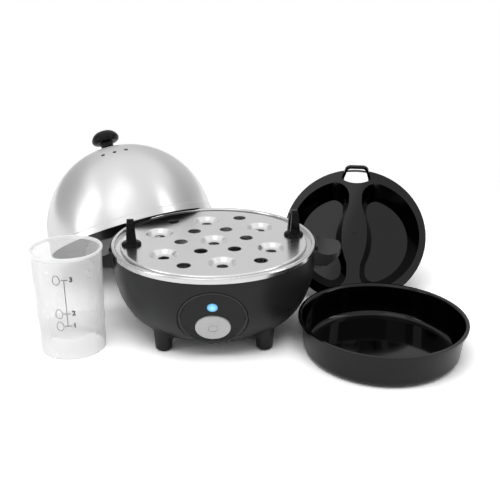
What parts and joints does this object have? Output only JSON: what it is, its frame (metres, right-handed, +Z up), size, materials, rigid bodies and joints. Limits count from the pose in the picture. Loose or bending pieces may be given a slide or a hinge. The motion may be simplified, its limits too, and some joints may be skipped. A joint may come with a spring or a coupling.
{
  "type": "electric egg cooker",
  "caption": "Round electric egg cooker: footed base with heating bowl and push button, egg rack with loop handles, domed lid with knob, measuring cup, omelette pan, poaching tray.",
  "frame": {"origin": "on the floor, under the middle of the base", "axes": "+Z up, the control panel faces -Y, +X to the right seen from the front"},
  "size_m": [0.3794, 0.3253, 0.1417],
  "materials": {
    "body_plastic": "black, satin, finely textured",
    "panel_plastic": "black, semi-gloss",
    "handle_plastic": "black, glossy",
    "pan_plastic": "black, glossy",
    "bowl_steel": "bright, polished rim",
    "rack_steel": "satin, lightly brushed",
    "lid_steel": "satin, brushed along its meridians",
    "rubber": "matte",
    "seal_rubber": "matte silicone",
    "screw_steel": "zinc plated",
    "element_steel": "dull sheath",
    "aluminium": "cast, matte",
    "brass": "tinned brass",
    "spring_steel": "bright wire",
    "thermostat_plastic": "ceramic coloured",
    "fuse_case": "bare metal can",
    "terminal_plastic": "pale nylon",
    "board": "green laminate",
    "switch_plastic": "black",
    "button_plastic": "silver grey, satin",
    "lens_plastic": "clear blue",
    "clear_plastic": "clear, slightly milky"
  },
  "bodies": {
    "base": {"housing": "body_plastic", "foot_pads": "rubber", "bottom_cover": "body_plastic", "cover_screws": "screw_steel", "heating_bowl": "bowl_steel", "bowl_seal": "seal_rubber", "bowl_spacers": "screw_steel", "bowl_screws": "screw_steel", "heat_spreader": "aluminium", "heating_element": "element_steel", "element_terminals": "brass", "thermostat": "thermostat_plastic", "thermostat_strap": "screw_steel", "strap_screws": "screw_steel", "thermal_fuse": "fuse_case", "fuse_clip": "screw_steel", "terminal_block": "terminal_plastic", "cord_gland": "body_plastic", "gland_nut": "body_plastic", "panel_ring": "panel_plastic", "control_panel": "panel_plastic", "indicator_lens": "lens_plastic", "indicator_led": "lens_plastic", "circuit_board": "board", "board_screws": "screw_steel", "switch_body": "switch_plastic", "button_spring": "spring_steel"},
    "button": {"power_button": "button_plastic", "switch_plunger": "switch_plastic"},
    "egg_rack": {"egg_rack": "rack_steel", "rack_handle_left": "handle_plastic", "rack_handle_right": "handle_plastic", "rack_handle_clips": "screw_steel"},
    "lid": {"lid_dome": "lid_steel", "lid_knob": "handle_plastic", "knob_washer": "rubber", "knob_screw": "screw_steel"},
    "cup": {"measuring_cup": "clear_plastic", "piercing_pin": "screw_steel"},
    "pan": {"omelette_pan": "pan_plastic"},
    "tray": {"poaching_tray": "pan_plastic"}
  },
  "joints": [
    {"name": "button_press", "type": "slide", "parent": "base", "child": "button", "axis": [0, 0.95, 0.3123], "range_m": [0, 0.002], "stiffness_N_per_m": 400, "springref_m": -0.002, "deforming": ["button_spring"]},
    {"name": "rack_lift", "type": "slide", "parent": "base", "child": "egg_rack", "axis": [0, 0, 1], "range_m": [0, 0.09]},
    {"name": "lid_lift", "type": "slide", "parent": "egg_rack", "child": "lid", "axis": [0, 0, 1], "range_m": [0, 0.13]},
    {"name": "cup_lift", "type": "slide", "parent": "base", "child": "cup", "axis": [0, 0, 1], "range_m": [0, 0.12]},
    {"name": "pan_lift", "type": "slide", "parent": "base", "child": "pan", "axis": [0.6561, -0.264, 0.707], "range_m": [0, 0.16]},
    {"name": "tray_lift", "type": "slide", "parent": "base", "child": "tray", "axis": [0, 0, 1], "range_m": [0, 0.13]}
  ]
}
